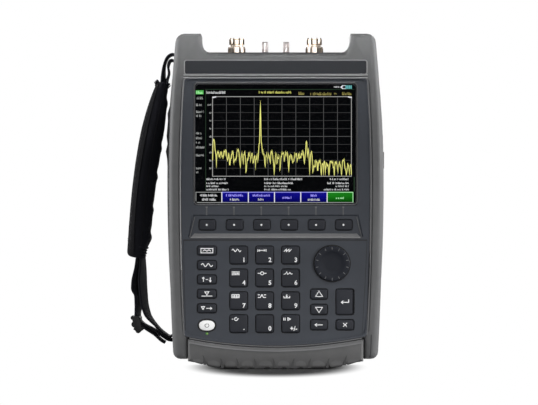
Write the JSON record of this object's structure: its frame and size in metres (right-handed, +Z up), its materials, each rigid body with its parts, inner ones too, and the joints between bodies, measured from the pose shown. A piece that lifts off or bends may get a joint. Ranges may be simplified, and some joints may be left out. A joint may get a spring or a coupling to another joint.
{
  "type": "handheld vector network analyzer",
  "caption": "Handheld vector network analyzer with a screen, softkeys, keypad, tuning knob, coaxial ports on top, side hand strap, tilt bail and battery door.",
  "frame": {"origin": "middle of the flat foot under the bottom bumper", "axes": "+Z up towards the ports, +X to the right as seen from the front, +Y towards the back"},
  "size_m": [0.2263, 0.077, 0.2933],
  "materials": {
    "grey_plastic": "grey moulded housing, fine spark-eroded texture",
    "bumper_rubber": "grey soft bumper, matte",
    "panel_plastic": "dark blue-grey panel, satin",
    "key_rubber": "dark grey keys with white printed marks, matte",
    "white_key": "white key, satin",
    "lens_glass": "clear screen window, glossy",
    "circuit_board": "green circuit board",
    "port_metal": "nickel-plated connector bodies",
    "plain_steel": "plain steel",
    "black_plastic": "black moulded plastic",
    "strap_webbing": "black woven webbing and padded sleeve",
    "green_light": "green light pipe"
  },
  "bodies": {
    "case": {"front_bezel": "grey_plastic", "rear_shell": "grey_plastic", "bottom_bumper": "bumper_rubber", "keypad_mat": "bumper_rubber", "front_panel": "panel_plastic", "name_strip": "panel_plastic", "display_lens": "lens_glass", "display_module": "black_plastic", "rotary_encoder": "plain_steel", "power_light": "green_light", "keypad_board": "circuit_board", "main_board": "circuit_board", "top_plate": "plain_steel", "port_1": "port_metal", "port_2": "port_metal", "small_port_1": "port_metal", "small_port_2": "port_metal", "rf_module": "port_metal", "battery_pack": "black_plastic", "case_screw_1": "plain_steel", "case_screw_2": "plain_steel", "case_screw_3": "plain_steel", "case_screw_4": "plain_steel", "strap_upper_loop": "strap_webbing", "strap_pad": "strap_webbing", "strap_lower_web": "strap_webbing", "strap_slider": "black_plastic"},
    "softkey_1": {"softkey_1": "key_rubber"},
    "softkey_2": {"softkey_2": "key_rubber"},
    "softkey_3": {"softkey_3": "key_rubber"},
    "softkey_4": {"softkey_4": "key_rubber"},
    "softkey_5": {"softkey_5": "key_rubber"},
    "softkey_6": {"softkey_6": "key_rubber"},
    "function_key_1": {"function_key_1": "key_rubber"},
    "function_key_2": {"function_key_2": "key_rubber"},
    "function_key_3": {"function_key_3": "key_rubber"},
    "function_key_4": {"function_key_4": "key_rubber"},
    "function_key_5": {"function_key_5": "key_rubber"},
    "key_1": {"key_1": "key_rubber"},
    "key_2": {"key_2": "key_rubber"},
    "key_3": {"key_3": "key_rubber"},
    "key_4": {"key_4": "key_rubber"},
    "key_5": {"key_5": "key_rubber"},
    "key_6": {"key_6": "key_rubber"},
    "key_7": {"key_7": "key_rubber"},
    "key_8": {"key_8": "key_rubber"},
    "key_9": {"key_9": "key_rubber"},
    "key_dot": {"key_dot": "key_rubber"},
    "key_0": {"key_0": "key_rubber"},
    "key_sign": {"key_sign": "key_rubber"},
    "power_key": {"power_key": "white_key"},
    "back_key": {"back_key": "key_rubber"},
    "down_key": {"down_key": "key_rubber"},
    "up_key": {"up_key": "key_rubber"},
    "escape_key": {"escape_key": "key_rubber"},
    "enter_key": {"enter_key": "key_rubber"},
    "tuning_knob": {"tuning_knob": "key_rubber"},
    "battery_door": {"battery_door": "grey_plastic"},
    "port_door": {"port_door": "bumper_rubber"},
    "tilt_bail": {"tilt_bail": "black_plastic"}
  },
  "joints": [
    {"name": "softkey_1_press", "type": "slide", "parent": "case", "child": "softkey_1", "axis": [0, 1, 0], "range_m": [0, 0.0008], "stiffness_N_per_m": 800, "springref_m": -0.0005},
    {"name": "softkey_2_press", "type": "slide", "parent": "case", "child": "softkey_2", "axis": [0, 1, 0], "range_m": [0, 0.0008], "stiffness_N_per_m": 800, "springref_m": -0.0005},
    {"name": "softkey_3_press", "type": "slide", "parent": "case", "child": "softkey_3", "axis": [0, 1, 0], "range_m": [0, 0.0008], "stiffness_N_per_m": 800, "springref_m": -0.0005},
    {"name": "softkey_4_press", "type": "slide", "parent": "case", "child": "softkey_4", "axis": [0, 1, 0], "range_m": [0, 0.0008], "stiffness_N_per_m": 800, "springref_m": -0.0005},
    {"name": "softkey_5_press", "type": "slide", "parent": "case", "child": "softkey_5", "axis": [0, 1, 0], "range_m": [0, 0.0008], "stiffness_N_per_m": 800, "springref_m": -0.0005},
    {"name": "softkey_6_press", "type": "slide", "parent": "case", "child": "softkey_6", "axis": [0, 1, 0], "range_m": [0, 0.0008], "stiffness_N_per_m": 800, "springref_m": -0.0005},
    {"name": "function_key_1_press", "type": "slide", "parent": "case", "child": "function_key_1", "axis": [0, 1, 0], "range_m": [0, 0.0008], "stiffness_N_per_m": 800, "springref_m": -0.0005},
    {"name": "function_key_2_press", "type": "slide", "parent": "case", "child": "function_key_2", "axis": [0, 1, 0], "range_m": [0, 0.0008], "stiffness_N_per_m": 800, "springref_m": -0.0005},
    {"name": "function_key_3_press", "type": "slide", "parent": "case", "child": "function_key_3", "axis": [0, 1, 0], "range_m": [0, 0.0008], "stiffness_N_per_m": 800, "springref_m": -0.0005},
    {"name": "function_key_4_press", "type": "slide", "parent": "case", "child": "function_key_4", "axis": [0, 1, 0], "range_m": [0, 0.0008], "stiffness_N_per_m": 800, "springref_m": -0.0005},
    {"name": "function_key_5_press", "type": "slide", "parent": "case", "child": "function_key_5", "axis": [0, 1, 0], "range_m": [0, 0.0008], "stiffness_N_per_m": 800, "springref_m": -0.0005},
    {"name": "key_1_press", "type": "slide", "parent": "case", "child": "key_1", "axis": [0, 1, 0], "range_m": [0, 0.0008], "stiffness_N_per_m": 800, "springref_m": -0.0005},
    {"name": "key_2_press", "type": "slide", "parent": "case", "child": "key_2", "axis": [0, 1, 0], "range_m": [0, 0.0008], "stiffness_N_per_m": 800, "springref_m": -0.0005},
    {"name": "key_3_press", "type": "slide", "parent": "case", "child": "key_3", "axis": [0, 1, 0], "range_m": [0, 0.0008], "stiffness_N_per_m": 800, "springref_m": -0.0005},
    {"name": "key_4_press", "type": "slide", "parent": "case", "child": "key_4", "axis": [0, 1, 0], "range_m": [0, 0.0008], "stiffness_N_per_m": 800, "springref_m": -0.0005},
    {"name": "key_5_press", "type": "slide", "parent": "case", "child": "key_5", "axis": [0, 1, 0], "range_m": [0, 0.0008], "stiffness_N_per_m": 800, "springref_m": -0.0005},
    {"name": "key_6_press", "type": "slide", "parent": "case", "child": "key_6", "axis": [0, 1, 0], "range_m": [0, 0.0008], "stiffness_N_per_m": 800, "springref_m": -0.0005},
    {"name": "key_7_press", "type": "slide", "parent": "case", "child": "key_7", "axis": [0, 1, 0], "range_m": [0, 0.0008], "stiffness_N_per_m": 800, "springref_m": -0.0005},
    {"name": "key_8_press", "type": "slide", "parent": "case", "child": "key_8", "axis": [0, 1, 0], "range_m": [0, 0.0008], "stiffness_N_per_m": 800, "springref_m": -0.0005},
    {"name": "key_9_press", "type": "slide", "parent": "case", "child": "key_9", "axis": [0, 1, 0], "range_m": [0, 0.0008], "stiffness_N_per_m": 800, "springref_m": -0.0005},
    {"name": "key_dot_press", "type": "slide", "parent": "case", "child": "key_dot", "axis": [0, 1, 0], "range_m": [0, 0.0008], "stiffness_N_per_m": 800, "springref_m": -0.0005},
    {"name": "key_0_press", "type": "slide", "parent": "case", "child": "key_0", "axis": [0, 1, 0], "range_m": [0, 0.0008], "stiffness_N_per_m": 800, "springref_m": -0.0005},
    {"name": "key_sign_press", "type": "slide", "parent": "case", "child": "key_sign", "axis": [0, 1, 0], "range_m": [0, 0.0008], "stiffness_N_per_m": 800, "springref_m": -0.0005},
    {"name": "power_key_press", "type": "slide", "parent": "case", "child": "power_key", "axis": [0, 1, 0], "range_m": [0, 0.0008], "stiffness_N_per_m": 800, "springref_m": -0.0005},
    {"name": "back_key_press", "type": "slide", "parent": "case", "child": "back_key", "axis": [0, 1, 0], "range_m": [0, 0.0008], "stiffness_N_per_m": 800, "springref_m": -0.0005},
    {"name": "down_key_press", "type": "slide", "parent": "case", "child": "down_key", "axis": [0, 1, 0], "range_m": [0, 0.0008], "stiffness_N_per_m": 800, "springref_m": -0.0005},
    {"name": "up_key_press", "type": "slide", "parent": "case", "child": "up_key", "axis": [0, 1, 0], "range_m": [0, 0.0008], "stiffness_N_per_m": 800, "springref_m": -0.0005},
    {"name": "escape_key_press", "type": "slide", "parent": "case", "child": "escape_key", "axis": [0, 1, 0], "range_m": [0, 0.0008], "stiffness_N_per_m": 800, "springref_m": -0.0005},
    {"name": "enter_key_press", "type": "slide", "parent": "case", "child": "enter_key", "axis": [0, 1, 0], "range_m": [0, 0.0008], "stiffness_N_per_m": 800, "springref_m": -0.0005},
    {"name": "knob_turn", "type": "hinge", "parent": "case", "child": "tuning_knob", "pos_m": [0.0493, -0.033, 0.09213], "axis": [0, 1, 0], "continuous": true},
    {"name": "battery_door_slide", "type": "slide", "parent": "case", "child": "battery_door", "axis": [1, 0, 0], "range_m": [0, 0.06]},
    {"name": "port_door_swing", "type": "hinge", "parent": "case", "child": "port_door", "pos_m": [0.094, 0.0215, 0.183], "axis": [0, 0, 1], "range_deg": [0, 90]},
    {"name": "bail_swing", "type": "hinge", "parent": "case", "child": "tilt_bail", "pos_m": [0, 0.0337, 0.23483], "axis": [1, 0, 0], "range_deg": [0, 70]}
  ]
}
